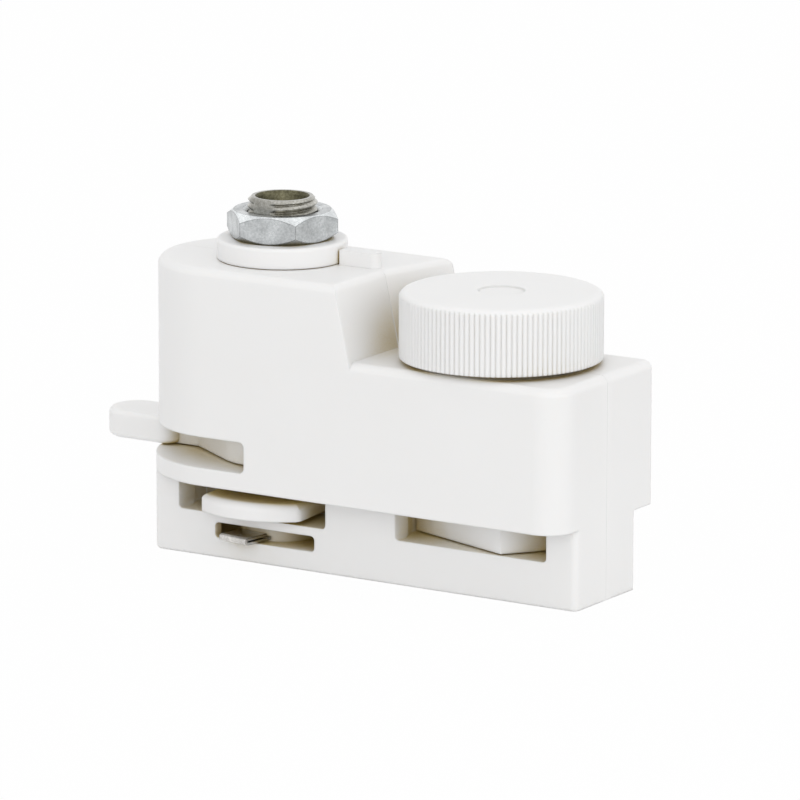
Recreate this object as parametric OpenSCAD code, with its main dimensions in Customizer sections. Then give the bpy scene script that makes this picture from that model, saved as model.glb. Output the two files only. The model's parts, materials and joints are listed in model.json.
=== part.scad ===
// Track light adapter: a two-shell housing with a swivel stem, a lever that turns the lock wing
// and the two contacts, and a knob that turns the lock cam.
// Millimetres, +Z up. The stem axis is x = 0, y = 0 and the insert's underside is z = 0.

/* [Housing] */
// Width of the housing above the track insert
body_w = 25.5; // [25:0.1:28]
// Height of the deck
deck_z = 31.45; // [30:0.05:34]
// Height of the tower top
tower_z = 42; // [41:0.1:46]
// Reach of the rounded left end from the stem axis
left_reach = 18.2; // [17.6:0.1:19]
// Further reach of the flange and the insert below the lever slot
foot_more = 0.55; // [0.4:0.05:1]
// Distance between the stem axis and the knob axis
axis_gap = 35.8; // [35:0.1:40]
// Reach of the right end from the knob axis
right_over = 17; // [16:0.1:20]
// Top of the tower's right wall, from the stem axis
tower_x = 16.8; // [16:0.1:18]
// Lean of that wall from the upright in degrees
lean = 12.5; // [2:0.5:16]
// Slant of that wall's rear half in degrees
slant = 13; // [0:1:16]
// Wall thickness of the shells
wall = 2; // [1.6:0.1:2.2]
// Rounding of the top edges and of the rear right upright corner
edge_r = 1.3; // [0.6:0.1:1.5]
// Rounding of the front right upright corner
front_corner_r = 4; // [2.6:0.1:5]
// Gap left open along the seam between the shells
seam_gap = 0.04; // [0.02:0.02:0.2]
// Height of the rib on the tower top
rib_h = 2.1; // [1:0.1:3]
// Width of that rib
rib_w = 2; // [1.4:0.1:3]

/* [Track insert] */
// Width of the insert
insert_w = 15.8; // [15.4:0.1:17]
// Height of the insert
insert_h = 11.2; // [11:0.1:12]
// Wall thickness of the insert
insert_wall = 1.6; // [1.2:0.1:1.8]
// Rounding of the insert's right corners
insert_corner_r = 0.9; // [0.3:0.1:1.5]
// Rounding of the lower edge at the insert's left end
base_edge_r = 0.6; // [0.3:0.1:1]
// Underside of the lock windows
window_z = 6.25; // [6.1:0.05:6.5]
// Height of the lock windows
window_h = 4.45; // [4.4:0.05:4.6]
// Half length of the lock windows
window_half = 12.2; // [11.8:0.1:12.4]
// Rounding of the window corners
window_r = 0.6; // [0.2:0.1:0.7]
// Underside of the contact windows
slit_z = 2.78; // [2.7:0.02:2.9]
// Height of the contact windows
slit_h = 2.22; // [2.1:0.02:2.4]
// Short reach of a contact window from the stem axis
slit_short = 6.1; // [5.8:0.1:7]
// Long reach of a contact window from the stem axis
slit_long = 10.4; // [10:0.1:11]

/* [Lever] */
// Underside of the lever slot
slot_z = 13.75; // [13.5:0.05:14.5]
// Thickness of the lever
lever_t = 4; // [3.6:0.1:5]
// Radius of the lever's hub
hub_r = 8.7; // [8:0.1:8.8]
// Angle of the flanks between the hub and the neck in degrees
flank_angle = 33; // [31:0.5:36]
// Half width of the neck
neck_half = 2.15; // [1.8:0.05:2.4]
// Distance from the hub's axis to the inner end of the finger tab
tab_in = 16; // [15:0.1:17]
// Half width of the finger tab
tab_half = 4.1; // [3.6:0.1:5]
// Distance from the hub's axis to the centre of the tab's round end
tab_x = 24.4; // [23.5:0.1:28]
// Rounding of the tab's upper and lower edges
tab_edge_r = 0.8; // [0.3:0.1:0.9]
// Swing of the lever in degrees
lever_swing = 85; // [80:1:86]
// Rounding of the slot's inner corners
slot_r = 0.8; // [0.2:0.1:0.9]
// Thickness of the slot's lip where the lever stops
slot_lip = 0.8; // [0.7:0.1:1.4]

/* [Lock wing and contacts] */
// Radius of the wing's ends
wing_r = 12.4; // [12:0.1:12.6]
// Thickness of the wing
wing_t = 2.45; // [2:0.05:2.7]
// Rounding of the wing's upper edges
wing_edge_r = 1.2; // [0.3:0.1:1.6]
// Rounding of the wing's four corners in plan
wing_corner_r = 1.6; // [0.6:0.1:3]
// Radius of the wing's spindle
spindle_r = 5; // [4.6:0.1:5.5]
// Radius of the contact carrier
carrier_r = 5.8; // [5.6:0.1:6]
// Reach of a contact's nose from the stem axis
nose_r = 10.5; // [10:0.1:10.7]
// Width of a contact strip
strip_w = 5; // [4:0.1:5.4]
// Thickness of a contact strip
strip_t = 0.4; // [0.3:0.05:0.5]
// Height of the folded contact
fold_h = 1; // [0.95:0.05:1.75]
// Angle by which the contacts trail the square of the lever in degrees
contact_lag = 8.8; // [4:0.2:10]
// Radius of the carrier's pivot
pivot_r = 2; // [1.6:0.1:2.4]

/* [Knob] */
// Radius of the knob over its ribs
knob_r = 14.05; // [13:0.05:14.4]
// Height of the knob
knob_h = 9.2; // [7:0.1:11]
// Height of the deck's raised ring under the knob
deck_lip = 0.5; // [0.4:0.05:1.2]
// Rounding of the knob's top edge
knob_edge_r = 1.2; // [0.6:0.1:2]
// Number of ribs around the knob
rib_count = 120; // [60:1:140]
// Depth of the grooves between the ribs
rib_depth = 0.2; // [0.15:0.05:0.5]
// Radius of the dimple in the knob's top
dimple_r = 3.2; // [2:0.1:4.5]
// Radius of the knob's shaft
shaft_r = 5; // [4.8:0.1:5.4]
// Side of the square drives on the shaft and the spindle
drive_side = 6.6; // [6:0.1:6.7]
// Reach of the cam's points from the knob axis
cam_r = 12.6; // [12:0.1:12.7]
// Offset of the cam's points from its long axis
cam_skew = 1.9; // [1:0.1:3]
// Offset of the cam's blunt corners along its long axis
cam_blunt = 4.8; // [4:0.1:6]
// Length of the cam screw's shank
cam_screw_l = 10.3; // [8:0.1:12]

/* [Stem] */
// Outer radius of the stem tube
stem_r = 4.9; // [4.7:0.05:5.2]
// Radius of the stem's wire passage
stem_bore_r = 3.5; // [3:0.05:3.6]
// Height of the stem's top above the tower
stem_up = 8.8; // [8.2:0.1:14]
// Chamfer of the stem's upper end
stem_chamfer = 1.05; // [0.3:0.05:1.2]
// Distance from the axis to the stem's milled flat
flat_d = 4.15; // [4.05:0.05:4.4]
// Width of the hexagon nuts across their flats
nut_af = 14; // [13:0.1:15]
// Thickness of the upper nut
nut_t = 4; // [3:0.1:5]
// Radius of the swivel disc
disc_r = 9.1; // [8.6:0.1:9.6]
// Thickness of the swivel disc
disc_t = 2.85; // [2:0.05:3.4]

/* [Screws] */
// Radius of the screw shanks
shank_r = 1.45; // [1.2:0.05:1.5]
// Radius of the screw heads
head_r = 2.5; // [2.2:0.1:2.6]
// Depth of the screw seats behind the seam
seat_y = 4.5; // [4:0.1:4.8]

/* [Clearances] */
// Radial clearance of a running fit
run_clear = 0.05; // [0.02:0.01:0.09]
// Clearance of parts that pass each other
move_clear = 0.3; // [0.25:0.05:0.35]
// Clearance between parts that sit together
fit_clear = 0.03; // [0.02:0.01:0.06]
// Clearance above and below the lever
slide_clear = 0.2; // [0.15:0.05:0.3]

/* [Hidden] */
$fn = 96;
over = 1;
edge_ease = 0.02;
edge_start = 0.1;
boss_bite = 1.5;
white = [0.93, 0.93, 0.92];
warm = [0.91, 0.90, 0.88];
zinc = [0.74, 0.77, 0.78];
steel = [0.60, 0.59, 0.57];
brass = [0.80, 0.70, 0.45];

body_half = body_w / 2;
insert_half = insert_w / 2;
right_reach = axis_gap + right_over;
round_x = body_half - left_reach;
foot_reach = left_reach + foot_more;
foot_r = body_half - 0.4;
foot_x = foot_r - foot_reach;
ceiling_z = tower_z - wall;
window_top = window_z + window_h;
deck_floor = insert_h + wall;
slot_h = lever_t + 2 * slide_clear;
tower_floor = slot_z + slot_h + wall;
foot_dx = (tower_z - deck_z) * tan(lean);
rear_foot = tower_x + body_half * tan(slant) + foot_dx / cos(slant);

flank_s = hub_r + 1.1;
bend_x = hub_r * sin(flank_angle) + (hub_r * cos(flank_angle) - neck_half) / tan(flank_angle);
flank_half = neck_half + max(0, bend_x - flank_s) * tan(flank_angle);
hub_room_r = sqrt(flank_s * flank_s + flank_half * flank_half) + move_clear;
lip_s = body_half - slot_lip;
lip_half = neck_half + max(0, bend_x - lip_s) * tan(flank_angle);
touch_x = (hub_r - edge_ease) * sin(flank_angle);
touch_y = (hub_r - edge_ease) * cos(flank_angle);
tab_corner_r = tab_half - neck_half;
tab_corner_x = tab_in + tab_corner_r;
slot_right = lip_half * sin(lever_swing) - lip_s * cos(lever_swing) + move_clear;
slot_back = tab_half + move_clear + 0.2;
deck_room_x = hub_room_r + wall;

lever_z = slot_z + slide_clear;
wing_z = window_z + 0.8;
wing_half = insert_half - 0.1;
wing_lag = lever_swing - 90;
wing_corner_x = wing_half - wing_corner_r;
wing_corner_y = sqrt((wing_r - wing_corner_r) * (wing_r - wing_corner_r) - wing_corner_x * wing_corner_x);
peg_z = lever_z + 1.75;
web_z = peg_z + 0.7;
rotor_head_h = lever_z + lever_t - web_z - 0.15;
lower_side = 4.4;
lower_peg_z = wing_z - 2.15;
carrier_floor = 1.8;
carrier_z = carrier_floor + 0.7;
pivot_z = carrier_floor - 0.8;
pad_r = pivot_r + 2.2;
strip_z = slit_z + 0.22;
leaf_s = 2;
rivet_s = 4.1;
rivet_head_r = 1.25;
rivet_r = 0.8;
rivet_z = wing_z - 1.75;

knob_z = deck_z + deck_lip + 0.25;
knob_top = knob_z + knob_h;
lip_r = knob_r - 3.05;
bearing_r = shaft_r + 2.8;
washer_in = shaft_r + move_clear;
washer_out = shaft_r + 2.8;
recess_z = deck_z + deck_lip - 0.8;
knob_skin = 2;
cam_z = window_z + slide_clear;
cam_top = window_top - 0.4;
cam_seat_z = cam_z + 1.25;
cam_web_z = cam_seat_z + 0.6;
cam_long = cam_r - 0.1;
cam_wide = insert_half - 0.15;
pilot_l = cam_screw_l + 0.9;

stem_top = tower_z + stem_up;
disc_z = tower_z + 0.1;
nut_z = disc_z + disc_t;
stop_t = 1;
stop_z = ceiling_z - 0.1 - stop_t;
stop_r = 8.5;
ring_r = stop_r - 1;
lug_r = 10;
lug_angle = 186.5;
ring_t = 0.6;
ring_z = stop_z - ring_t;
inner_nut_t = 3;
inner_nut_z = ring_z - inner_nut_t;
stem_bottom = inner_nut_z - 1;
flat_angle = -100;
nut_turn = 16;

head_h = 1.7;
boss_r = head_r + 1.7;
screw_end = -5.5;
screw_spots = [
  [-9, tower_floor + boss_r - 0.4],
  [21.5, deck_z - wall - boss_r + 0.2],
  [right_reach - wall - boss_r + boss_bite, deck_floor + boss_r - boss_bite],
  [(window_half + axis_gap - window_half) / 2, insert_h / 2 + 0.1]
];

// Cut for a rounded corner whose point is the origin, with the body in the first quadrant
module corner_2d(r) {
  difference() {
    translate([-over, -over]) square(r + over);
    translate([r, r]) circle(r);
  }
}

// Cut for a rounded top edge, with the rounding's centre at the origin
module edge_2d(r) {
  difference() {
    square(r + over);
    circle(r + edge_ease);
  }
}

module round_rect(w, h, r) {
  difference() {
    square([w, h]);
    corner_2d(r);
    translate([w, 0]) mirror([1, 0]) corner_2d(r);
    translate([0, h]) mirror([0, 1]) corner_2d(r);
    translate([w, h]) rotate(180) corner_2d(r);
  }
}

// An x, z outline carried along y
module along_y(y0, y1) {
  translate([0, y1, 0]) rotate([90, 0, 0]) linear_extrude(y1 - y0) children();
}

// A y, z outline carried along x
module along_x(x0, x1) {
  translate([x0, 0, 0]) rotate([90, 0, 90]) linear_extrude(x1 - x0) children();
}

module slanted() {
  translate([tower_x, 0, 0]) rotate([0, 0, -slant]) translate([-tower_x, 0, 0]) children();
}

module body_plan() {
  translate([round_x, 0]) circle(body_half);
  difference() {
    translate([round_x, -body_half]) square([right_reach - round_x, body_w]);
    translate([right_reach, -body_half]) mirror([1, 0]) corner_2d(front_corner_r);
    translate([right_reach, body_half]) rotate(180) corner_2d(edge_r);
  }
}

module insert_plan() {
  intersection() {
    union() {
      translate([foot_x, 0]) circle(foot_r);
      translate([foot_x, -foot_r]) square([right_reach - foot_x, 2 * foot_r]);
    }
    difference() {
      translate([-foot_reach - over, -insert_half]) square([foot_reach + over + right_reach, insert_w]);
      translate([right_reach, -insert_half]) mirror([1, 0]) corner_2d(insert_corner_r);
      translate([right_reach, insert_half]) rotate(180) corner_2d(insert_corner_r);
    }
  }
}

// Space above the deck, with the tower's leaning wall and its rounded top edge
module deck_profile() {
  reach = edge_r + over;
  polygon([
    [tower_x, tower_z], [tower_x + foot_dx, deck_z], [2 * right_reach, deck_z],
    [2 * right_reach, tower_z + over], [tower_x, tower_z + over]]);
  translate([tower_x + edge_r * tan(lean) - edge_r / cos(lean), tower_z - edge_r]) difference() {
    polygon([[0, 0], [0, reach], [reach, reach], [reach * cos(lean), reach * sin(lean)]]);
    circle(edge_r + edge_ease);
  }
}

module front_edges() {
  translate([0, edge_r - body_half, tower_z - edge_r])
    along_x(round_x, tower_x + over) mirror([1, 0]) edge_2d(edge_r);
  translate([0, edge_r - body_half, deck_z - edge_r])
    along_x(tower_x + foot_dx + edge_start, right_reach - front_corner_r) mirror([1, 0]) edge_2d(edge_r);
  translate([right_reach - front_corner_r, front_corner_r - body_half, deck_z - edge_r])
    rotate([0, 0, -90]) rotate_extrude(angle = 90) translate([front_corner_r - edge_r, 0]) edge_2d(edge_r);
  translate([right_reach - edge_r, 0, deck_z - edge_r])
    along_y(front_corner_r - body_half, over) edge_2d(edge_r);
  round_end_edge();
  base_end_edge();
}

module rear_edges() {
  translate([0, body_half - edge_r, tower_z - edge_r])
    along_x(round_x, rear_foot + over) edge_2d(edge_r);
  translate([0, body_half - edge_r, deck_z - edge_r])
    along_x(rear_foot + edge_start, right_reach - edge_r) edge_2d(edge_r);
  translate([right_reach - edge_r, body_half - edge_r, deck_z - edge_r]) difference() {
    cube(edge_r + over);
    sphere(edge_r + edge_ease);
  }
  translate([right_reach - edge_r, 0, deck_z - edge_r])
    along_y(-over, body_half - edge_r) edge_2d(edge_r);
  round_end_edge();
  base_end_edge();
}

module round_end_edge() {
  translate([round_x, 0, tower_z - edge_r])
    rotate([0, 0, 90]) rotate_extrude(angle = 180) translate([body_half - edge_r, 0]) edge_2d(edge_r);
}

module base_end_edge() {
  translate([foot_x, 0, base_edge_r]) mirror([0, 0, 1]) rotate([0, 0, 90])
    rotate_extrude(angle = 180) translate([foot_r - base_edge_r, 0]) edge_2d(base_edge_r);
}

module outer_block() {
  translate([0, 0, insert_h]) linear_extrude(tower_z - insert_h) body_plan();
  translate([foot_x, 0, insert_h]) cylinder(r = foot_r, h = slot_z - insert_h);
  linear_extrude(insert_h + over) insert_plan();
}

module half_space(y0) {
  translate([-2 * left_reach, y0, -over])
    cube([2 * left_reach + 2 * right_reach, 2 * body_w, tower_z + 2 * over]);
}

module front_block() {
  difference() {
    outer_block();
    along_y(-body_half - over, over) deck_profile();
    front_edges();
    half_space(-seam_gap / 2);
  }
}

module rear_block() {
  difference() {
    outer_block();
    slanted() along_y(-over, 2 * body_w) deck_profile();
    rear_edges();
    mirror([0, 1, 0]) half_space(-seam_gap / 2);
  }
}

module deck_lip_ring() {
  translate([axis_gap, 0, deck_z - over]) cylinder(r = lip_r, h = deck_lip + over);
}

// Meeting faces of the screw bosses, which close the seam gap
module boss_tips(y0) {
  for (p = screw_spots)
    translate([p[0], y0, p[1]]) rotate([-90, 0, 0]) cylinder(r = boss_r - 1.2, h = seam_gap / 2 + 0.4);
}

module columns() {
  translate([axis_gap, 0, insert_h]) cylinder(r = bearing_r, h = deck_z - insert_h);
  for (p = screw_spots)
    translate([p[0], -body_half, p[1]]) rotate([-90, 0, 0]) cylinder(r = boss_r, h = body_w);
}

module rooms() {
  difference() {
    union() {
      translate([0, 0, tower_floor]) linear_extrude(ceiling_z - tower_floor) {
        translate([round_x, 0]) circle(body_half - wall);
        translate([round_x, wall - body_half]) square([tower_x - wall - round_x, body_w - 2 * wall]);
      }
      translate([0, 0, deck_floor]) linear_extrude(deck_z - wall - deck_floor) difference() {
        translate([deck_room_x, wall - body_half])
          square([right_reach - wall - deck_room_x, body_w - 2 * wall]);
        translate([right_reach - wall, wall - body_half]) mirror([1, 0]) corner_2d(front_corner_r - wall);
      }
    }
    columns();
  }
}

module lever_room() {
  translate([0, 0, slot_z]) cylinder(r = hub_room_r, h = slot_h);
  along_y(-body_half - over, slot_back)
    translate([-foot_reach - over, slot_z]) difference() {
      square([foot_reach + over + slot_right, slot_h]);
      translate([foot_reach + over + slot_right, 0]) mirror([1, 0]) corner_2d(slot_r);
      translate([foot_reach + over + slot_right, slot_h]) rotate(180) corner_2d(slot_r);
    }
  rotate([0, 0, lever_swing]) translate([0, 0, slot_z + edge_ease])
    linear_extrude(slot_h - 2 * edge_ease) polygon([
      [0, 0], [-lip_s, 0], [-lip_s, -lip_half - move_clear], [-flank_s, -flank_half - move_clear],
      [0, -flank_half - move_clear]]);
  translate([0, 0, window_top - over])
    cylinder(r = spindle_r + run_clear, h = slot_z - window_top + 2 * over);
}

module lock_room(x, r) {
  translate([x, 0, window_z]) cylinder(r = r + 0.4, h = window_h);
  along_y(-insert_half - over, insert_half + over)
    translate([x - window_half, window_z]) round_rect(2 * window_half, window_h, window_r);
}

module slit() {
  along_y(-insert_half - over, insert_wall - insert_half + 0.6)
    translate([-slit_short, slit_z]) round_rect(slit_short + slit_long, slit_h, window_r);
}

module contact_room() {
  intersection() {
    translate([0, 0, slit_z]) cylinder(r = nose_r + 0.4, h = slit_h);
    translate([-2 * nose_r, insert_wall - insert_half, slit_z])
      cube([4 * nose_r, insert_w - 2 * insert_wall, slit_h]);
  }
  slit();
  rotate([0, 0, 180]) slit();
  translate([0, 0, carrier_floor])
    cylinder(r = carrier_r + move_clear, h = window_z - carrier_floor + over);
  translate([0, 0, pivot_z - 0.2]) cylinder(r = pivot_r + run_clear, h = carrier_floor - pivot_z + over);
}

module knob_room() {
  translate([axis_gap, 0, window_top - over])
    cylinder(r = shaft_r + run_clear, h = deck_z + deck_lip - window_top + 2 * over);
  translate([axis_gap, 0, recess_z]) cylinder(r = washer_out + move_clear, h = deck_lip + over);
  translate([axis_gap - window_half + wall, insert_wall - insert_half, wall])
    cube([right_reach - wall - axis_gap + window_half - wall, insert_w - 2 * insert_wall,
      window_z - 2 * wall]);
}

module shell_cuts() {
  rooms();
  lever_room();
  lock_room(0, wing_r);
  lock_room(axis_gap, cam_r);
  contact_room();
  knob_room();
  translate([0, 0, ceiling_z - over]) cylinder(r = stem_r + run_clear, h = wall + 2 * over);
}

module front_shell() color(white) {
  difference() {
    union() {
      front_block();
      intersection() {
        deck_lip_ring();
        mirror([0, 1, 0]) half_space(seam_gap / 2);
      }
      boss_tips(-seam_gap / 2 - 0.4);
    }
    shell_cuts();
    translate([0, 0, -over]) cylinder(r = pad_r + seam_gap / 2, h = carrier_floor + 2 * over);
    for (p = screw_spots)
      translate([p[0], screw_end - 0.5, p[1]]) rotate([-90, 0, 0])
        cylinder(r = shank_r + fit_clear, h = -screw_end + 0.5 + over);
  }
}

module rear_shell() color(white) {
  difference() {
    union() {
      rear_block();
      intersection() {
        deck_lip_ring();
        half_space(seam_gap / 2);
      }
      mirror([0, 1, 0]) boss_tips(-seam_gap / 2 - 0.4);
      cylinder(r = pad_r, h = carrier_floor);
      top_rib();
    }
    shell_cuts();
    for (p = screw_spots) {
      translate([p[0], -over, p[1]]) rotate([-90, 0, 0])
        cylinder(r = shank_r + 0.15, h = seat_y + 2 * over);
      translate([p[0], seat_y, p[1]]) rotate([-90, 0, 0]) cylinder(r = head_r + 0.2, h = body_w);
    }
  }
  stop_post();
}

module top_rib() {
  translate([0, 0, tower_z - over]) linear_extrude(rib_h + over) {
    translate([disc_r + move_clear, seam_gap / 2])
      square([tower_x - edge_r - rib_w / 2 - disc_r - move_clear, rib_w]);
    translate([tower_x - edge_r - rib_w / 2, seam_gap / 2 + rib_w / 2]) circle(rib_w / 2);
  }
}

module stop_post() {
  translate([stop_r + 0.4, seam_gap / 2, stop_z - 0.4]) cube([1.6, 2, ceiling_z - stop_z + 0.4 + over]);
}

module screw(head, length) {
  difference() {
    union() {
      cylinder(r = head_r, h = head);
      translate([0, 0, -length]) cylinder(r = shank_r, h = length + head / 2);
    }
    for (a = [0, 90])
      rotate([0, 0, a]) translate([-0.65 * head_r, -0.4, 0.45 * head]) cube([1.3 * head_r, 0.8, head]);
  }
}

module shell_screws() color(zinc) {
  for (p = screw_spots)
    translate([p[0], seat_y, p[1]]) rotate([-90, 0, 0]) screw(head_h, seat_y - screw_end);
}

module lever_plan() {
  circle(hub_r);
  translate([-tab_x, -neck_half]) square([tab_x, 2 * neck_half]);
  translate([-tab_x, 0]) circle(tab_half);
  difference() {
    translate([-tab_x, -tab_half]) square([tab_x - tab_in, 2 * tab_half]);
    translate([-tab_in, tab_half]) rotate(180) corner_2d(tab_corner_r);
    translate([-tab_in, -tab_half]) mirror([1, 0]) corner_2d(tab_corner_r);
  }
  polygon([
    [-bend_x, neck_half], [-bend_x, -neck_half], [-touch_x, -touch_y], [-touch_x, touch_y]]);
}

// Cuts that round one face's edges of the finger tab, with that face up
module tab_edges() {
  r = tab_edge_r;
  translate([-tab_x, 0, 0]) rotate([0, 0, 90])
    rotate_extrude(angle = 180) translate([tab_half - r, 0]) edge_2d(r);
  translate([0, tab_half - r, 0]) along_x(-tab_x, -tab_corner_x) edge_2d(r);
  translate([0, r - tab_half, 0]) along_x(-tab_x, -tab_corner_x) mirror([1, 0]) edge_2d(r);
  for (a = [0, -90]) translate([-tab_corner_x, a == 0 ? neck_half : -neck_half, 0]) rotate([0, 0, a])
    rotate_extrude(angle = 90) translate([tab_corner_r - r, 0]) edge_2d(r);
}

module lever() color(white) {
  difference() {
    translate([0, 0, lever_z]) linear_extrude(lever_t) lever_plan();
    translate([0, 0, lever_z + lever_t - tab_edge_r]) tab_edges();
    translate([0, 0, lever_z + tab_edge_r]) mirror([0, 0, 1]) tab_edges();
    rotate([0, 0, -wing_lag]) square_peg(drive_side + 2 * fit_clear, lever_z - over, peg_z + 0.1);
    translate([0, 0, lever_z]) cylinder(r = shank_r + fit_clear, h = lever_t + over);
    translate([0, 0, web_z]) cylinder(r = head_r + 0.2, h = lever_t);
  }
}

module square_peg(side, z0, z1) {
  translate([-side / 2, -side / 2, z0]) cube([side, side, z1 - z0]);
}

// One rounded corner of the wing's plan, cut where the flank meets the round end
module wing_corner_2d() {
  reach = wing_r + over;
  translate([wing_corner_x, wing_corner_y]) difference() {
    polygon([[0, 0], [reach, 0], [reach, reach],
      [reach * wing_corner_x / wing_corner_y, reach]]);
    circle(wing_corner_r + edge_ease);
  }
}

module wing_plate() {
  difference() {
    intersection() {
      rotate_extrude() difference() {
        square([wing_r, wing_t]);
        translate([wing_r, wing_t]) rotate(180) corner_2d(wing_edge_r);
      }
      along_y(-2 * wing_r, 2 * wing_r) difference() {
        translate([-wing_half, 0]) square([2 * wing_half, wing_t]);
        translate([wing_half, wing_t]) rotate(180) corner_2d(wing_edge_r);
        translate([-wing_half, wing_t]) mirror([0, 1]) corner_2d(wing_edge_r);
      }
    }
    for (a = [0, 180]) rotate([0, 0, a]) translate([0, 0, -over]) linear_extrude(wing_t + 2 * over) {
      wing_corner_2d();
      mirror([1, 0]) wing_corner_2d();
    }
  }
}

module lock_wing() color(white) {
  rotate([0, 0, -wing_lag]) difference() {
    union() {
      translate([0, 0, wing_z]) wing_plate();
      translate([0, 0, wing_z + 0.5]) cylinder(r = spindle_r, h = lever_z - wing_z - 0.5);
      square_peg(drive_side, lever_z - over, peg_z);
      square_peg(lower_side, lower_peg_z, wing_z + 0.5);
    }
    translate([0, 0, lower_peg_z - over])
      cylinder(r = shank_r + fit_clear, h = peg_z - lower_peg_z + 2 * over);
  }
}

module at_contact(side) {
  rotate([0, 0, -90 - contact_lag + 180 * side]) children();
}

module contact_carrier() color(warm) {
  difference() {
    union() {
      translate([0, 0, carrier_z]) cylinder(r = carrier_r, h = wing_z - carrier_z);
      translate([0, 0, pivot_z]) cylinder(r = pivot_r, h = carrier_z - pivot_z + 0.5);
    }
    rotate([0, 0, -wing_lag])
      square_peg(lower_side + 2 * fit_clear, lower_peg_z - 0.1, wing_z + over);
    translate([0, 0, lower_peg_z - 1.1]) cylinder(r = shank_r + fit_clear, h = 3);
    for (side = [0, 1]) at_contact(side) {
      translate([leaf_s - fit_clear, -strip_w / 2 - fit_clear, strip_z - fit_clear])
        cube([carrier_r, strip_w + 2 * fit_clear, strip_t + 2 * fit_clear]);
      translate([rivet_s, 0, carrier_z - over]) cylinder(r = rivet_r + fit_clear, h = wing_z);
      translate([rivet_s, 0, rivet_z]) cylinder(r = rivet_head_r + 0.1, h = wing_z);
    }
  }
}

// Strip folded back on itself, with the fold as the nose
module contact_strip() {
  bend = fold_h / 2;
  difference() {
    along_y(-strip_w / 2, strip_w / 2) {
      translate([leaf_s, strip_z]) square([nose_r - bend - leaf_s, strip_t]);
      translate([carrier_r + move_clear, strip_z + fold_h - strip_t])
        square([nose_r - bend - carrier_r - move_clear, strip_t]);
      intersection() {
        translate([nose_r - bend, strip_z + bend]) difference() {
          circle(bend);
          circle(bend - strip_t);
        }
        translate([nose_r - bend, strip_z]) square([fold_h, fold_h]);
      }
    }
    translate([rivet_s, 0, strip_z - over]) cylinder(r = rivet_r + fit_clear, h = strip_t + 2 * over);
  }
}

module front_contact() color(zinc) {
  at_contact(0) contact_strip();
}

module rear_contact() color(zinc) {
  at_contact(1) contact_strip();
}

module contact_rivets() color(brass) {
  for (side = [0, 1]) at_contact(side) translate([rivet_s, 0, 0]) {
    translate([0, 0, carrier_z + 0.1]) cylinder(r = rivet_r, h = rivet_z - carrier_z + 0.4);
    translate([0, 0, rivet_z]) cylinder(r = rivet_head_r, h = 1);
  }
}

module rotor_screw() color(zinc) {
  translate([0, 0, web_z]) screw(rotor_head_h, web_z - lower_peg_z + 0.9);
}

function rim_point(i, r) = [r * cos(360 * i / rib_count), r * sin(360 * i / rib_count)];

module ribbed_plan() {
  polygon([for (i = [0 : rib_count - 1])
    each [rim_point(i - 0.3, knob_r), rim_point(i + 0.3, knob_r), rim_point(i + 0.5, knob_r - rib_depth)]]);
}

module knob() color(white) {
  translate([axis_gap, 0, 0]) difference() {
    union() {
      intersection() {
        translate([0, 0, knob_z]) linear_extrude(knob_h) ribbed_plan();
        translate([0, 0, knob_z - over]) rotate_extrude() difference() {
          square([knob_r + 0.2, knob_h + over]);
          translate([knob_r + 0.2, knob_h + over]) rotate(180) corner_2d(knob_edge_r + 0.2);
        }
      }
      translate([0, 0, cam_top]) cylinder(r = shaft_r, h = knob_z - cam_top + over);
      square_peg(drive_side, cam_web_z + 0.05, cam_top + over);
    }
    translate([0, 0, knob_top - 0.25]) cylinder(r = dimple_r, h = over);
    translate([0, 0, knob_z - over]) difference() {
      cylinder(r = knob_r - knob_skin, h = knob_h - knob_skin + over);
      translate([0, 0, -over]) cylinder(r = bearing_r, h = knob_h + 3 * over);
    }
    translate([0, 0, cam_web_z - over]) cylinder(r = shank_r + fit_clear, h = pilot_l);
  }
}

module lock_cam() color(white) {
  translate([axis_gap, 0, 0]) difference() {
    intersection() {
      translate([0, 0, cam_z]) cylinder(r = cam_r, h = cam_top - cam_z);
      translate([0, 0, cam_z]) linear_extrude(cam_top - cam_z) polygon([
        [cam_blunt, -cam_wide], [cam_long, cam_skew], [-cam_blunt, cam_wide], [-cam_long, -cam_skew]]);
    }
    square_peg(drive_side + 2 * fit_clear, cam_web_z, cam_top + over);
    translate([0, 0, cam_z - over]) cylinder(r = shank_r + fit_clear, h = cam_top);
    translate([0, 0, cam_z - over]) cylinder(r = head_r + 0.2, h = cam_seat_z - cam_z + over);
  }
}

module cam_screw() color(zinc) {
  translate([axis_gap, 0, cam_seat_z]) mirror([0, 0, 1]) screw(cam_seat_z - cam_z - fit_clear, cam_screw_l);
}

module knob_washer() color(warm) {
  translate([axis_gap, 0, recess_z + 0.1]) difference() {
    cylinder(r = washer_out, h = knob_z - recess_z - 0.1);
    translate([0, 0, -over]) cylinder(r = washer_in, h = deck_lip + 3 * over);
  }
}

// Stem outline with its milled flat
module stem_plan(grow) {
  difference() {
    circle(stem_r + grow);
    rotate(flat_angle) translate([flat_d + grow, -2 * stem_r]) square([stem_r, 4 * stem_r]);
  }
}

module stem_tube() color(steel) {
  difference() {
    rotate_extrude() polygon([
      [stem_bore_r, stem_bottom], [stem_r, stem_bottom], [stem_r, stem_top - stem_chamfer],
      [stem_r - stem_chamfer, stem_top], [stem_bore_r + 0.15, stem_top], [stem_bore_r, stem_top - 0.15]]);
    rotate([0, 0, flat_angle]) translate([flat_d, -2 * stem_r, stem_bottom - over])
      cube([stem_r, 4 * stem_r, stem_top - stem_bottom + 2 * over]);
  }
}

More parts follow.
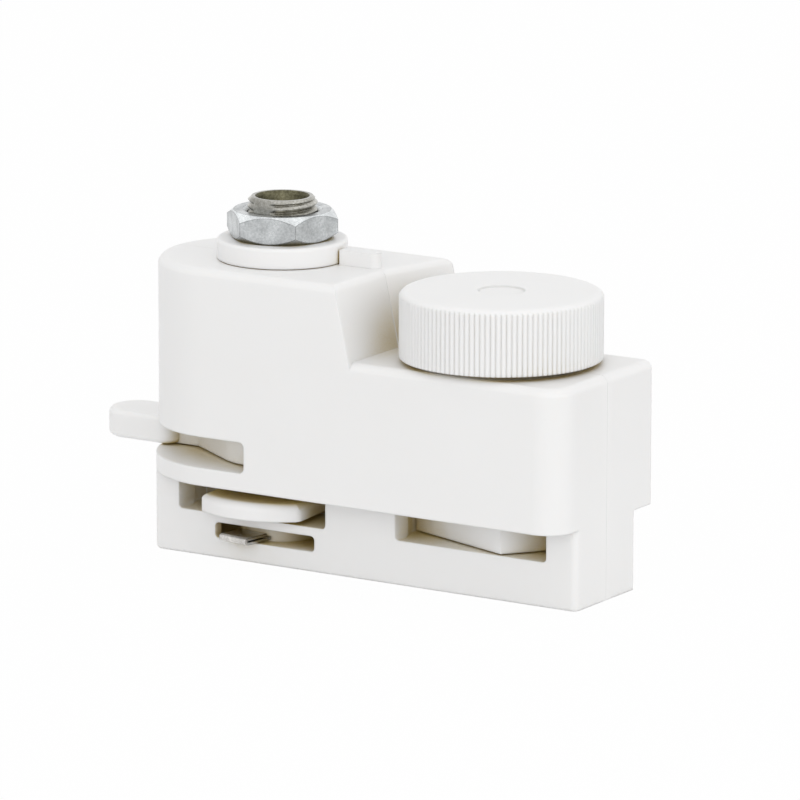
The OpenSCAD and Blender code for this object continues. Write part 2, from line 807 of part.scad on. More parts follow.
module hex_nut(t) {
  corner = nut_af / sqrt(3);
  rise = (corner + 0.2 - 0.485 * nut_af) * tan(30);
  difference() {
    intersection() {
      rotate([0, 0, nut_turn]) linear_extrude(t) circle(r = corner, $fn = 6);
      rotate_extrude() polygon([
        [0, 0], [0.485 * nut_af, 0], [corner + 0.2, rise], [corner + 0.2, t - rise],
        [0.485 * nut_af, t], [0, t]]);
    }
    translate([0, 0, -over]) cylinder(r = stem_r + fit_clear, h = t + 2 * over);
  }
}

module stem_nut() color(zinc) {
  translate([0, 0, nut_z]) hex_nut(nut_t);
}

module inner_nut() color(zinc) {
  translate([0, 0, inner_nut_z]) hex_nut(inner_nut_t);
}

module swivel_disc() color(white) {
  translate([0, 0, disc_z]) difference() {
    rotate_extrude() difference() {
      square([disc_r, disc_t]);
      translate([disc_r, disc_t]) rotate(180) corner_2d(0.4);
    }
    translate([0, 0, -over]) linear_extrude(disc_t + 2 * over) stem_plan(fit_clear);
  }
}

module stop_washer() color(zinc) {
  translate([0, 0, stop_z]) linear_extrude(stop_t) difference() {
    union() {
      circle(stop_r);
      rotate(lug_angle) intersection() {
        circle(lug_r);
        translate([0, -1.3]) square([2 * lug_r, 2.6]);
      }
    }
    stem_plan(fit_clear);
  }
}

module friction_washer() color(warm) {
  translate([0, 0, ring_z]) difference() {
    cylinder(r = ring_r, h = ring_t);
    translate([0, 0, -over]) cylinder(r = stem_r + fit_clear, h = ring_t + 2 * over);
  }
}

front_shell();
rear_shell();
shell_screws();
lever();
lock_wing();
contact_carrier();
front_contact();
rear_contact();
contact_rivets();
rotor_screw();
knob();
lock_cam();
cam_screw();
knob_washer();
stem_tube();
stem_nut();
swivel_disc();
stop_washer();
friction_washer();
inner_nut();
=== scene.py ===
"""Looks of the track light adapter: finishes, threaded stem, lock nut, studio and camera."""

import json
import logging
import math
from dataclasses import dataclass, field, replace
from enum import Enum

import bmesh
import bpy
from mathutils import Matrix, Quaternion, Vector


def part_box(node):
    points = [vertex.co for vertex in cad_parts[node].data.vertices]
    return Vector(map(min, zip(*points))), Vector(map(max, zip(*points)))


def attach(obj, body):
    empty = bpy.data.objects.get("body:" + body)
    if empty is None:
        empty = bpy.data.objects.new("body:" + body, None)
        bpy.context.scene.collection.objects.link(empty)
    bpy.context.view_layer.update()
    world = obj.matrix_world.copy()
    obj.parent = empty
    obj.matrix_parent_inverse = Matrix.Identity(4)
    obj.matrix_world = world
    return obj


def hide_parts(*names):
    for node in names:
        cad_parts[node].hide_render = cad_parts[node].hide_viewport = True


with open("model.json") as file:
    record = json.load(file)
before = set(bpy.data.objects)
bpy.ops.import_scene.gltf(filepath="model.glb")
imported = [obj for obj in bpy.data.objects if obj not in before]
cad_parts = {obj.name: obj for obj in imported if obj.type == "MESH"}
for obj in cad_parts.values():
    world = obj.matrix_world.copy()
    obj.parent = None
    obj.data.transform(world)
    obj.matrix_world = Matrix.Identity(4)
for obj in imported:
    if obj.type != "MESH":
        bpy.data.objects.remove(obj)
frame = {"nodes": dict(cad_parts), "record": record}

LOG = logging.getLogger("track_light_adapter")
MM = 0.001
STEM_BODY = "stem"
SHELL_NODES = ("front_shell", "rear_shell")

Colour = tuple[float, float, float]
Point = tuple[float, float, float]
Span = tuple[float, float]
Stops = tuple[tuple[float, Colour], ...]
Node = bpy.types.Node
Socket = bpy.types.NodeSocket

WHITE: Colour = (1.0, 1.0, 1.0)


class Slot(Enum):
    """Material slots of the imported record."""

    SHELL = "shell_plastic"
    KNOB = "knob_plastic"
    INNER = "inner_plastic"
    ZINC = "zinc_steel"
    STEM = "stem_steel"
    CONTACT = "contact_metal"
    RIVET = "rivet_brass"


class Operation(Enum):
    """Sums that the node graphs do."""

    ABSOLUTE = "ABSOLUTE"
    LARGER = "MAXIMUM"
    PRODUCT = "MULTIPLY"


@dataclass(frozen=True)
class Grain:
    """Noise pattern: features per metre, octaves and the strength of the finer octaves."""

    scale: float
    octaves: float = 3.0
    roughness: float = 0.55


def rgba(colour: Colour) -> tuple[float, float, float, float]:
    """Opaque colour with its alpha."""
    return (*colour, 1.0)


class NodeGraph:
    """Small builder around the node tree of a material or a world."""

    occlusion_samples = 8
    bevel_samples = 6
    # A mix node has several sockets of each name, so a colour mix goes by their places.
    mix_factor, mix_first, mix_second, mix_result = 0, 6, 7, 2

    def __init__(self, owner: bpy.types.Material | bpy.types.World) -> None:
        """Starts with an empty node tree.

        Args:
            owner: Material or world to build nodes for.
        """
        owner.use_nodes = True
        self.owner = owner
        self.tree = owner.node_tree
        self.tree.nodes.clear()

    def add(self, kind: str, **values: object) -> Node:
        """Adds a node and sets its input sockets.

        Args:
            kind: Node type, such as ShaderNodeTexNoise.
            values: Socket values, with spaces in socket names as underscores.

        Returns:
            The new node.
        """
        node = self.tree.nodes.new(kind)
        for name, value in values.items():
            node.inputs[name.replace("_", " ")].default_value = value
        return node

    def link(self, source: Socket, target: Socket) -> None:
        """Joins an output socket to an input socket."""
        self.tree.links.new(source, target)

    def finish(self, shader: Node) -> bpy.types.Material | bpy.types.World:
        """Joins the shader to the output.

        Args:
            shader: Node whose first output is the surface.

        Returns:
            The finished material or world.
        """
        is_world = isinstance(self.owner, bpy.types.World)
        output = self.add("ShaderNodeOutputWorld" if is_world else "ShaderNodeOutputMaterial")
        self.link(shader.outputs[0], output.inputs["Surface"])
        return self.owner

    def place(self, kind: str) -> Socket:
        """Texture coordinates of one kind, such as Object or Normal."""
        return self.add("ShaderNodeTexCoord").outputs[kind]

    def along(self, vector: Socket, axis: str) -> Socket:
        """Takes one axis out of a vector.

        Args:
            vector: Vector to take apart.
            axis: X, Y or Z.

        Returns:
            The value along that axis.
        """
        parts = self.add("ShaderNodeSeparateXYZ")
        self.link(vector, parts.inputs[0])
        return parts.outputs[axis]

    def noise(self, grain: Grain) -> Socket:
        """Adds noise in the part's own space.

        Args:
            grain: Pattern of the noise.

        Returns:
            The noise, from 0 to 1.
        """
        noise = self.add("ShaderNodeTexNoise", Scale=grain.scale, Detail=grain.octaves,
                         Roughness=grain.roughness)
        self.link(self.place("Object"), noise.inputs["Vector"])
        return noise.outputs["Fac"]

    def ramp(self, factor: Socket, stops: Stops) -> Socket:
        """Adds a colour ramp over a factor.

        Args:
            factor: Socket that drives the ramp.
            stops: Place and colour of each stop, in order.

        Returns:
            The colour.
        """
        ramp = self.add("ShaderNodeValToRGB")
        elements = ramp.color_ramp.elements
        while len(elements) < len(stops):
            elements.new(1.0)
        for element, (place, colour) in zip(elements, stops):
            element.position = place
            element.color = rgba(colour)
        self.link(factor, ramp.inputs["Fac"])
        return ramp.outputs["Color"]

    def spread(self, factor: Socket, result: Span, over: Span = (0.0, 1.0)) -> Socket:
        """Maps a factor to a range.

        Args:
            factor: Socket to map.
            result: Results at the start and at the end.
            over: Factors at the start and at the end.

        Returns:
            The mapped value.
        """
        mapped = self.add("ShaderNodeMapRange", From_Min=over[0], From_Max=over[1],
                          To_Min=result[0], To_Max=result[1])
        self.link(factor, mapped.inputs["Value"])
        return mapped.outputs["Result"]

    def calculate(self, operation: Operation, *values: Socket | float) -> Socket:
        """Does a sum with one or two values.

        Args:
            operation: Sum to do.
            values: Sockets or plain numbers.

        Returns:
            The result.
        """
        node = self.add("ShaderNodeMath")
        node.operation = operation.value
        for value, target in zip(values, node.inputs):
            if isinstance(value, float):
                target.default_value = value
            else:
                self.link(value, target)
        return node.outputs[0]

    def multiply(self, first: Socket, second: Socket) -> Socket:
        """Multiplies two colours.

        Args:
            first: First colour.
            second: Second colour.

        Returns:
            The product.
        """
        mix = self.add("ShaderNodeMix")
        mix.data_type = "RGBA"
        mix.blend_type = "MULTIPLY"
        mix.inputs[self.mix_factor].default_value = 1.0
        self.link(first, mix.inputs[self.mix_first])
        self.link(second, mix.inputs[self.mix_second])
        return mix.outputs[self.mix_result]

    def mix_shaders(self, share: Socket, first: Node, second: Node) -> Node:
        """Mixes two shaders.

        Args:
            share: Share of the second shader.
            first: First shader.
            second: Second shader.

        Returns:
            The mixed shader.
        """
        mix = self.add("ShaderNodeMixShader")
        for source, target in zip((share, first.outputs[0], second.outputs[0]), mix.inputs):
            self.link(source, target)
        return mix

    def openness(self, reach: float) -> Socket:
        """How open the surface is: 1 in the open, near 0 in a deep gap.

        Args:
            reach: How far away a wall still counts.

        Returns:
            The openness.
        """
        occlusion = self.add("ShaderNodeAmbientOcclusion", Distance=reach)
        occlusion.samples = self.occlusion_samples
        return occlusion.outputs["AO"]

    def soft_edge(self, radius: float) -> Node:
        """Adds rounded shading on sharp edges.

        Args:
            radius: Radius of the rounding.

        Returns:
            The bevel node.
        """
        edge = self.add("ShaderNodeBevel", Radius=radius)
        edge.samples = self.bevel_samples
        return edge

    def shown(self) -> Socket:
        """Tells what is looked at from what only lights the part.

        Returns:
            1 for camera, glossy and transmission rays, else 0.
        """
        path = self.add("ShaderNodeLightPath")
        seen = self.calculate(Operation.LARGER, path.outputs["Is Camera Ray"],
                              path.outputs["Is Glossy Ray"])
        return self.calculate(Operation.LARGER, seen, path.outputs["Is Transmission Ray"])


@dataclass(frozen=True)
class MouldedPlastic:
    """Satin moulded plastic with a faint mould grain, softened edges and painted warm shade in
    its gaps.

    On a seamed finish the tight seam at y = 0 stays a fine pale line: the three seam spans say
    how far from it the painted warm gap shade, the soft edges and the scattered light come in.
    """

    name: str
    pale: Colour
    deep: Colour
    roughness: Span = (0.36, 0.46)
    cloud: Grain = Grain(45.0, octaves=4.0)
    cloud_span: Span = (0.3, 0.7)
    patch: Grain = Grain(360.0)
    grain: Grain = Grain(5200.0, octaves=2.0)
    grain_depth: float = 0.004 * MM
    grain_strength: float = 0.5
    edge_radius: float = 0.4 * MM
    ior: float = 1.5
    scatter: float = 0.4
    scatter_reach: float = 0.8 * MM
    scatter_tint: Colour = (1.0, 0.95, 0.9)
    # Painted shade: colours multiplied into the base colour by how open the surface is, dark and
    # warm in deep gaps.
    painted_gap_shade_reach: float = 7.0 * MM
    painted_gap_shade_stops: Stops = (
        (0.0, (0.55, 0.40, 0.10)),
        (0.13, (0.74, 0.60, 0.28)),
        (0.28, (0.965, 0.94, 0.885)),
        (0.48, WHITE),
    )
    seamed: bool = False
    seam_gap: Span = (0.06 * MM, 0.12 * MM)
    seam_edge: Span = (0.12 * MM, 0.45 * MM)
    seam_scatter: Span = (0.45 * MM, 1.8 * MM)

    def off_seam(self, graph: NodeGraph) -> Socket:
        """Distance from the seam."""
        return graph.calculate(Operation.ABSOLUTE, graph.along(graph.place("Object"), "Y"))

    def painted_gap_shade(self, graph: NodeGraph) -> Socket:
        """Painted warm shade in the places that light reaches only by way of other walls.

        Args:
            graph: Graph of the material.

        Returns:
            The tint to multiply the colour with.
        """
        # Painted shade: ambient occlusion picks where the gaps are darkened and warmed.
        openness = graph.openness(self.painted_gap_shade_reach)
        if self.seamed:
            # The walls of the tight seam get no painted shade, so the seam stays pale.
            unshaded_seam_walls = graph.spread(self.off_seam(graph), (1.0, 0.0), self.seam_gap)
            openness = graph.calculate(Operation.LARGER, openness, unshaded_seam_walls)
        return graph.ramp(openness, self.painted_gap_shade_stops)

    def edge_normal(self, graph: NodeGraph) -> Socket:
        """Softened edges, left crisp along the seam.

        Args:
            graph: Graph of the material.

        Returns:
            The normal.
        """
        edge = graph.soft_edge(self.edge_radius)
        if self.seamed:
            radius = graph.spread(self.off_seam(graph), (0.0, self.edge_radius), self.seam_edge)
            graph.link(radius, edge.inputs["Radius"])
        return edge.outputs["Normal"]

    def build(self) -> bpy.types.Material:
        """Makes the material.

        Returns:
            The plastic material.
        """
        graph = NodeGraph(bpy.data.materials.new(self.name))
        start, end = self.cloud_span
        tone = graph.ramp(graph.noise(self.cloud), ((start, self.deep), (end, self.pale)))
        gloss = graph.spread(graph.noise(self.patch), self.roughness)
        bump = graph.add("ShaderNodeBump", Strength=self.grain_strength,
                         Distance=self.grain_depth)
        graph.link(graph.noise(self.grain), bump.inputs["Height"])
        graph.link(self.edge_normal(graph), bump.inputs["Normal"])
        shader = graph.add("ShaderNodeBsdfPrincipled", IOR=self.ior,
                           Subsurface_Weight=self.scatter,
                           Subsurface_Radius=self.scatter_tint,
                           Subsurface_Scale=self.scatter_reach)
        # Base colour: random tone times the painted warm shade of the gaps.
        graph.link(graph.multiply(tone, self.painted_gap_shade(graph)), shader.inputs["Base Color"])
        graph.link(gloss, shader.inputs["Roughness"])
        graph.link(bump.outputs["Normal"], shader.inputs["Normal"])
        if self.seamed:
            depth = graph.spread(self.off_seam(graph), (0.0, self.scatter), self.seam_scatter)
            graph.link(depth, shader.inputs["Subsurface Weight"])
        return graph.finish(shader)


@dataclass(frozen=True)
class PlatedMetal:
    """Plated steel, fine grain, painted light: bright bevels, shaded faces, edges and hollows.
    """

    name: str
    pale: Colour
    deep: Colour
    roughness: Span = (0.24, 0.40)
    mottle: Grain = Grain(3200.0, octaves=4.0, roughness=0.7)
    mottle_span: Span = (0.38, 0.62)
    mark_depth: float = 0.006 * MM
    mark_strength: float = 0.6
    blotch: Grain = Grain(420.0, octaves=4.0, roughness=0.6)
    wear: Span = (0.80, 1.08)
    wear_span: Span = (0.35, 0.65)
    gloss_span: Span = (0.3, 0.7)
    edge_radius: float = 0.2 * MM
    # Painted shade: sharp edges darkened by how far the rounded normal turns from the true one.
    painted_edge_shade_tone: float = 0.35
    painted_edge_shade_span: Span = (0.93, 0.995)
    # Painted light by the upward lean of the normal: plain faces get this grey as painted shade,
    # bevels stay white as a painted highlight.
    painted_face_shade_tone: float = 0.68
    painted_highlight_rise: Span = (0.60, 0.78)
    painted_highlight_fall: Span = (0.92, 0.98)
    # Painted shade: colour darkened toward the recess colour where nearby walls close in.
    painted_recess_shade_reach: float = 0.8 * MM
    painted_recess_shade_span: Span = (0.25, 0.8)
    painted_recess_shade: Colour = (0.45, 0.43, 0.38)

    def painted_edge_shade(self, graph: NodeGraph, edge: Node) -> Socket:
        """Grey factor of painted shade that darkens the sharp edges.

        Args:
            graph: Graph of the material.
            edge: Bevel node of the material.

        Returns:
            The factor as a grey colour.
        """
        plain = graph.add("ShaderNodeNewGeometry")
        dot = graph.add("ShaderNodeVectorMath")
        dot.operation = "DOT_PRODUCT"
        graph.link(edge.outputs["Normal"], dot.inputs[0])
        graph.link(plain.outputs["True Normal"], dot.inputs[1])
        return graph.spread(dot.outputs["Value"], (self.painted_edge_shade_tone, 1.0), self.painted_edge_shade_span)

    def bevel_share(self, graph: NodeGraph) -> Socket:
        """Grey factor: painted highlight on the bevels, painted shade on the sides and the top.

        Args:
            graph: Graph of the material.

        Returns:
            The factor as a grey colour.
        """
        painted_face_shade = (self.painted_face_shade_tone,) * 3
        tones = (painted_face_shade, WHITE, WHITE, painted_face_shade)
        # Painted light by normal: bevels white as a painted highlight, sides and top painted
        # shade.
        upward = graph.along(graph.place("Normal"), "Z")
        return graph.ramp(upward, tuple(zip(self.painted_highlight_rise + self.painted_highlight_fall, tones)))

    def build(self) -> bpy.types.Material:
        """Makes the material.

        Returns:
            The metal material.
        """
        graph = NodeGraph(bpy.data.materials.new(self.name))
        mottle, blotch = graph.noise(self.mottle), graph.noise(self.blotch)
        start, end = self.mottle_span
        tone = graph.ramp(mottle, ((start, self.deep), (end, self.pale)))
        gloss = graph.spread(blotch, self.roughness[::-1], self.gloss_span)
        edge = graph.soft_edge(self.edge_radius)
        bump = graph.add("ShaderNodeBump", Strength=self.mark_strength, Distance=self.mark_depth)
        graph.link(mottle, bump.inputs["Height"])
        graph.link(edge.outputs["Normal"], bump.inputs["Normal"])
        start, end = self.painted_recess_shade_span
        # Painted shade in hollows, from ambient occlusion.
        depth = graph.ramp(graph.openness(self.painted_recess_shade_reach),
                           ((start, self.painted_recess_shade), (end, WHITE)))
        colour = graph.multiply(tone, graph.spread(blotch, self.wear, self.wear_span))
        # The colour gets the painted dark edges, the painted bevel highlights and the painted
        # hollow shade.
        for share in (self.painted_edge_shade(graph, edge), self.bevel_share(graph), depth):
            colour = graph.multiply(colour, share)
        shader = graph.add("ShaderNodeBsdfPrincipled", Metallic=1.0)
        graph.link(colour, shader.inputs["Base Color"])
        graph.link(gloss, shader.inputs["Roughness"])
        graph.link(bump.outputs["Normal"], shader.inputs["Normal"])
        return graph.finish(shader)


WHITE_PART = MouldedPlastic("satin_white_part", (0.845, 0.842, 0.838), (0.832, 0.828, 0.822))
WHITE_SHELL = replace(WHITE_PART, name="satin_white_shell", seamed=True)
WHITE_KNOB = MouldedPlastic("satin_white_knob", (0.855, 0.853, 0.85), (0.84, 0.837, 0.832))
INNER_WHITE = MouldedPlastic("plain_inner_white", (0.80, 0.79, 0.76), (0.77, 0.76, 0.73),
                             roughness=(0.45, 0.55))
ZINC = PlatedMetal("zinc_plate", (0.93, 0.955, 0.965), (0.70, 0.73, 0.74))
# Stem: painted dark olive shade in the thread grooves.
STEM_STEEL = PlatedMetal("nickel_stem", (0.64, 0.63, 0.59), (0.44, 0.43, 0.38),
                         roughness=(0.18, 0.3), painted_edge_shade_tone=1.0, painted_face_shade_tone=0.72,
                         painted_recess_shade_span=(0.4, 0.85), painted_recess_shade=(0.16, 0.14, 0.08))
# Wire passage: olive colour made very dark as painted shade inside the tube, plus painted shade
# in its hollows.
STEM_BORE = PlatedMetal("olive_bore_painted_dark", (0.19, 0.18, 0.115), (0.10, 0.092, 0.055),
                        roughness=(0.35, 0.5), blotch=replace(PlatedMetal.blotch, scale=900.0),
                        painted_edge_shade_tone=1.0, painted_face_shade_tone=1.0, painted_recess_shade=(0.8, 0.76, 0.6))
CONTACT = PlatedMetal("contact_strip", (0.74, 0.72, 0.69), (0.60, 0.58, 0.55),
                      roughness=(0.16, 0.3), painted_face_shade_tone=0.95)
RIVET = PlatedMetal("rivet_brass", (0.72, 0.55, 0.27), (0.58, 0.43, 0.2))


def give_finish(obj: bpy.types.Object, material: bpy.types.Material) -> None:
    """Gives a piece its material.

    Args:
        obj: Piece to dress.
        material: Finish of the piece.
    """
    obj.data.materials.clear()
    obj.data.materials.append(material)
    for face in obj.data.polygons:
        face.material_index = 0


def placed(name: str, data: bpy.types.ID) -> bpy.types.Object:
    """Puts an object with a mesh, lamp or camera into the scene.

    Args:
        name: Name of the object.
        data: What it shows.

    Returns:
        The new object.
    """
    obj = bpy.data.objects.new(name, data)
    bpy.context.scene.collection.objects.link(obj)
    return obj


def mesh_of(name: str, shape: bmesh.types.BMesh) -> bpy.types.Mesh:
    """Turns a shape into a mesh.

    Args:
        name: Name of the mesh.
        shape: Shape to use up.

    Returns:
        The mesh.
    """
    mesh = bpy.data.meshes.new(name)
    shape.to_mesh(mesh)
    shape.free()
    return mesh


def ring_point(angle: float, radius: float, z: float) -> Point:
    """Point on a ring round the stem's axis."""
    return (radius * math.cos(angle), radius * math.sin(angle), z)


def looped_piece(name: str, rings: list[list[Point]], sharp_angle: float) -> bpy.types.Object:
    """Makes a smooth-shaded piece through rings of points, with the last joined to the first.

    Args:
        name: Name of the piece.
        rings: Rings with the same number of points each.
        sharp_angle: Angle above which an edge stays sharp.

    Returns:
        The new piece.
    """
    shape = bmesh.new()
    loops = [[shape.verts.new(point) for point in ring] for ring in rings]
    for here, there in zip(loops, loops[1:] + loops[:1]):
        for k in range(len(here)):
            n = (k + 1) % len(here)
            shape.faces.new((here[k], here[n], there[n], there[k]))
    bmesh.ops.recalc_face_normals(shape, faces=shape.faces)
    mesh = mesh_of(name, shape)
    mesh.shade_smooth()
    mesh.set_sharp_from_angle(angle=sharp_angle)
    return placed(name, mesh)


@dataclass
class Finishes:
    """Materials of the part, made once and shared by its pieces."""

    shell: bpy.types.Material = field(default_factory=WHITE_SHELL.build)
    part: bpy.types.Material = field(default_factory=WHITE_PART.build)
    knob: bpy.types.Material = field(default_factory=WHITE_KNOB.build)
    inner: bpy.types.Material = field(default_factory=INNER_WHITE.build)
    zinc: bpy.types.Material = field(default_factory=ZINC.build)
    stem: bpy.types.Material = field(default_factory=STEM_STEEL.build)
    bore: bpy.types.Material = field(default_factory=STEM_BORE.build)
    contact: bpy.types.Material = field(default_factory=CONTACT.build)
    rivet: bpy.types.Material = field(default_factory=RIVET.build)

    def of(self, node: str, slot: Slot) -> bpy.types.Material:
        """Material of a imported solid.

        Args:
            node: Name of the solid's node.
            slot: Record slot of the node.

        Returns:
            The seamed finish for the two shells, or else the slot's finish.
        """
        if node in SHELL_NODES:
            return self.shell
        return {
            Slot.SHELL: self.part,
            Slot.KNOB: self.knob,
            Slot.INNER: self.inner,
            Slot.ZINC: self.zinc,
            Slot.STEM: self.stem,
            Slot.CONTACT: self.contact,
            Slot.RIVET: self.rivet,
        }[slot]


@dataclass
class SolidPieces:
    """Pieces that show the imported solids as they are."""

    finishes: Finishes

    def dress(self) -> None:
        """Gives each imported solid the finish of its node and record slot."""
        for row in frame["record"]["subparts"]:
            obj = frame["nodes"][row["node"]]
            slot = Slot(row["material_slot"])
            give_finish(obj, self.finishes.of(row["node"], slot))
            LOG.info("solid %s wears %s", obj.name, slot.value)


@dataclass
class ThreadedStem:
    """Stem tube with its real thread, milled flat and wire passage.

    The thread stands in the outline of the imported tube.
    """

    finishes: Finishes
    pitch: float = 1.0 * MM
    depth: float = 0.5 * MM
    flank_gain: float = 1.15
    crest_land: float = 0.1
    bore_r: float = 3.5 * MM
    flat_d: float = 4.15 * MM
    flat_angle: float = math.radians(-100.0)
    chamfer: float = 0.6 * MM
    mouth: float = 0.3 * MM
    mouth_depth: float = 0.5 * MM
    end_face_lean: float = 0.9
    sharp_angle: float = math.radians(40.0)
    turn_steps: int = 144
    pitch_steps: int = 12

    def outer_radius(self, angle: float, z: float, crest_r: float) -> float:
        """Radius of the threaded, flattened surface.

        Args:
            angle: Angle round the axis.
            z: Height above the tube's lower end.
            crest_r: Crest radius.

        Returns:
            The radius at that place.
        """
        phase = (z / self.pitch - angle / math.tau) % 1.0
        off_crest = abs(2.0 * phase - 1.0)
        cut = min(1.0, max(0.0, self.flank_gain * off_crest - self.crest_land))
        r = crest_r - self.depth * cut
        lean = math.cos(angle - self.flat_angle)
        return min(r, self.flat_d / lean) if lean > 0.0 else r

    def rings(self, bottom: float, length: float, crest_r: float) -> list[list[Point]]:
        """Rings up the threaded outside and back down the wire passage.

        Args:
            bottom: Height of the tube's lower end.
            length: Length of the tube.
            crest_r: Crest radius.

        Returns:
            The rings of points.
        """
        angles = [math.tau * k / self.turn_steps for k in range(self.turn_steps)]
        rows = round(length / self.pitch * self.pitch_steps)
        rings = []
        for row in range(rows + 1):
            z = length * row / rows
            most_r = crest_r - max(0.0, self.chamfer - (length - z))
            rings.append([
                ring_point(angle, min(self.outer_radius(angle, z, crest_r), most_r), bottom + z)
                for angle in angles])
        for r, z in ((self.bore_r + self.mouth, length),
                     (self.bore_r, length - self.mouth_depth),
                     (self.bore_r, 0.0)):
            rings.append([ring_point(angle, r, bottom + z) for angle in angles])
        return rings

    def line_bore(self, stem: bpy.types.Object) -> None:
        """Gives the wall of the wire passage its own less glossy finish, olive and made dark as
        painted shade.

        Args:
            stem: The finished stem.
        """
        stem.data.materials.append(self.finishes.bore)
        wall_r = self.bore_r + self.mouth / 2.0
        for face in stem.data.polygons:
            if face.center.xy.length < wall_r and abs(face.normal.z) < self.end_face_lean:
                face.material_index = 1

    def build(self) -> bpy.types.Object:
        """Makes the stem in place of the plain tube.

        Returns:
            The threaded stem.
        """
        low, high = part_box("stem_tube")
        rings = self.rings(low.z, high.z - low.z, high.x)
        stem = looped_piece("threaded_stem", rings, self.sharp_angle)
        give_finish(stem, self.finishes.stem)
        self.line_bore(stem)
        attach(stem, STEM_BODY)
        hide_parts("stem_tube")
        return stem


@dataclass
class LockNut:
    """Hexagon nut on the stem, bevelled above and below, with a countersunk bore."""

    finishes: Finishes
    across_flats: float = 14.0 * MM
    turn: float = math.radians(16.0)
    bevel_share: float = 0.97
    bevel_slope: float = math.tan(math.radians(40.0))
    bore_r: float = 4.93 * MM
    sink: float = 0.6 * MM
    sink_slope: float = 0.8
    sharp_angle: float = math.radians(20.0)
    sides: int = 6
    steps_per_side: int = 24

    def profile(self, thick: float) -> list[tuple[float, bool, float]]:
        """Profile of the nut from its underside, over the top and down the bore.

        Args:
            thick: Thickness of the nut.

        Returns:
            Radius, whether the radius follows the hexagon, and height of each ring.
        """
        bevel_r = self.bevel_share * self.across_flats / 2.0
        drop = self.sink * self.sink_slope
        return [
            (self.bore_r + self.sink, False, 0.0),
            (bevel_r, False, 0.0),
            (bevel_r, True, 0.0),
            (bevel_r, True, thick),
            (bevel_r, False, thick),
            (self.bore_r + self.sink, False, thick),
            (self.bore_r, False, thick - drop),
            (self.bore_r, False, drop),
        ]

    def on_side(self, angle: float, bevel_r: float, height: float) -> tuple[float, float]:
        """Where a bevel runs out on the hexagon's side.

        Args:
            angle: Angle round the nut, from a corner.
            bevel_r: Radius at which the bevel starts.
            height: Height at which the bevel starts, 0 on the underside.

        Returns:
            Radius and height.
        """
        side = math.tau / self.sides
        off_middle = angle % side - side / 2.0
        r = self.across_flats / 2.0 / math.cos(off_middle)
        fall = (r - bevel_r) * self.bevel_slope
        return r, (fall if height == 0.0 else height - fall)

    def build(self) -> bpy.types.Object:
        """Makes the nut in place of the plain one.

        Returns:
            The nut.
        """
        low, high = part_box("stem_nut")
        steps = self.sides * self.steps_per_side
        rings = []
        for radius, on_hexagon, height in self.profile(high.z - low.z):
            ring = []
            for k in range(steps):
                angle = math.tau * k / steps
                r, z = self.on_side(angle, radius, height) if on_hexagon else (radius, height)
                ring.append(ring_point(angle + self.turn, r, low.z + z))
            rings.append(ring)
        nut = looped_piece("lock_nut", rings, self.sharp_angle)
        give_finish(nut, self.finishes.zinc)
        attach(nut, STEM_BODY)
        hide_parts("stem_nut")
        return nut


@dataclass(frozen=True)
class SoftLamp:
    """Soft square lamp, with its power in watts."""

    name: str
    place: Point
    power: float
    size: float = 0.6

    def hang(self, aim: Point) -> bpy.types.Object:
        """Hangs the lamp so that it faces a point.

        Args:
            aim: Point to face.

        Returns:
            The lamp.
        """
        data = bpy.data.lights.new(self.name, "AREA")
        data.shape = "SQUARE"
        data.size = self.size
        data.energy = self.power
        lamp = placed(self.name, data)
        lamp.location = self.place
        lamp.rotation_mode = "QUATERNION"
        lamp.rotation_quaternion = (Vector(aim) - lamp.location).to_track_quat("-Z", "Y")
        return lamp


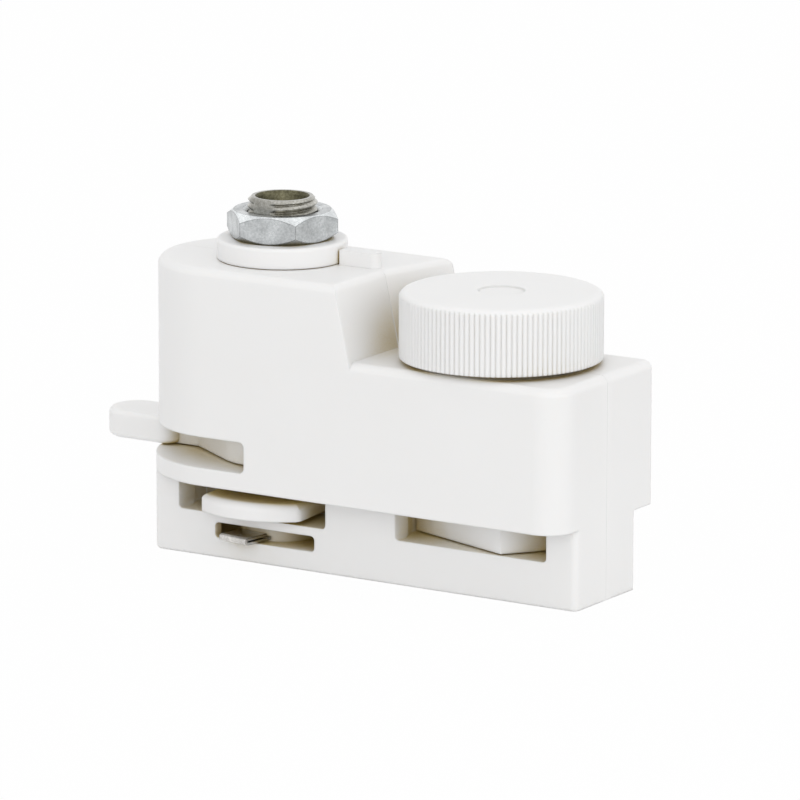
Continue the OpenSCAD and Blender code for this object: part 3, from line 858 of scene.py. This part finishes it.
@dataclass
class Studio:
    """Pale floor, soft lamps, white surround and the camera at the photo's angle.

    The camera's angles are in degrees. The anchor, on the knob's axis, shows at anchor_px, and
    there a metre measures scale_px pixels.
    """

    azimuth: float = 31.64
    elevation: float = 12.24
    roll: float = 0.13
    distance: float = 1085.0 * MM
    clip: Span = (0.05, 50.0)
    scale_px: float = 7300.0
    image_px: float = 800.0
    anchor: Point = (35.8 * MM, 0.0, 30.93 * MM)
    anchor_px: Span = (500.98, 364.38)
    floor_size: float = 6.0
    floor_colour: Colour = (0.86, 0.86, 0.86)
    floor_glow: float = 0.97
    sky: float = 0.91
    lamp_aim: Point = (17.0 * MM, 0.0, 25.0 * MM)
    lamps: tuple[SoftLamp, ...] = (
        SoftLamp("key_lamp", (0.45, -1.0, 0.45), 1.8),
        SoftLamp("side_lamp", (1.0, -0.3, 0.35), 1.2),
    )

    def camera(self) -> bpy.types.Object:
        """Sets the camera where the photo was taken from.

        Returns:
            The camera.
        """
        a, e = math.radians(self.azimuth), math.radians(self.elevation)
        back = Vector((math.sin(a) * math.cos(e), -math.cos(a) * math.cos(e), math.sin(e)))
        right = Vector((math.cos(a), math.sin(a), 0.0))
        up = back.cross(right)
        anchor = Vector(self.anchor)
        half = self.image_px / 2.0
        target = (anchor - right * ((self.anchor_px[0] - half) / self.scale_px)
                  - up * ((half - self.anchor_px[1]) / self.scale_px))
        data = bpy.data.cameras.new("camera")
        data.sensor_fit = "HORIZONTAL"
        data.lens = data.sensor_width * self.scale_px * self.distance / self.image_px
        data.clip_start, data.clip_end = self.clip
        camera = placed("camera", data)
        camera.location = anchor + back * self.distance
        camera.rotation_mode = "QUATERNION"
        look = (target - camera.location).to_track_quat("-Z", "Y")
        roll = Quaternion((0.0, 0.0, 1.0), math.radians(self.roll))
        camera.rotation_quaternion = look @ roll
        bpy.context.scene.camera = camera
        return camera

    def floor(self) -> bpy.types.Object:
        """Lays the pale floor, which keeps the part's soft shadow.

        Returns:
            The floor.
        """
        graph = NodeGraph(bpy.data.materials.new("pale_floor"))
        diffuse = graph.add("ShaderNodeBsdfDiffuse", Color=rgba(self.floor_colour))
        glow = graph.add("ShaderNodeEmission", Strength=1.0)
        share = graph.calculate(Operation.PRODUCT, graph.shown(), self.floor_glow)
        shape = bmesh.new()
        bmesh.ops.create_grid(shape, x_segments=1, y_segments=1, size=self.floor_size / 2.0)
        floor = placed("floor", mesh_of("floor", shape))
        floor.data.materials.append(graph.finish(graph.mix_shaders(share, diffuse, glow)))
        return floor

    def surround(self) -> None:
        """Makes the world: plain white to look at, softer as a light."""
        graph = NodeGraph(bpy.data.worlds.new("studio_white"))
        soft, plain = (graph.add("ShaderNodeBackground", Color=rgba(WHITE), Strength=strength)
                       for strength in (self.sky, 1.0))
        bpy.context.scene.world = graph.finish(graph.mix_shaders(graph.shown(), soft, plain))

    def build(self) -> None:
        """Builds the whole studio."""
        bpy.context.scene.view_settings.view_transform = "Standard"
        self.surround()
        self.floor()
        for lamp in self.lamps:
            lamp.hang(self.lamp_aim)
        self.camera()


def main() -> None:
    """Dresses the part and builds the studio round it."""
    logging.basicConfig(level=logging.INFO, format="%(message)s")
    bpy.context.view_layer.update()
    finishes = Finishes()
    SolidPieces(finishes).dress()
    stem = ThreadedStem(finishes).build()
    LOG.info("piece %s stands for the plain tube", stem.name)
    nut = LockNut(finishes).build()
    LOG.info("piece %s stands for the plain nut", nut.name)
    Studio().build()
    LOG.info("studio and camera are set")


if __name__ == "__main__":
    main()
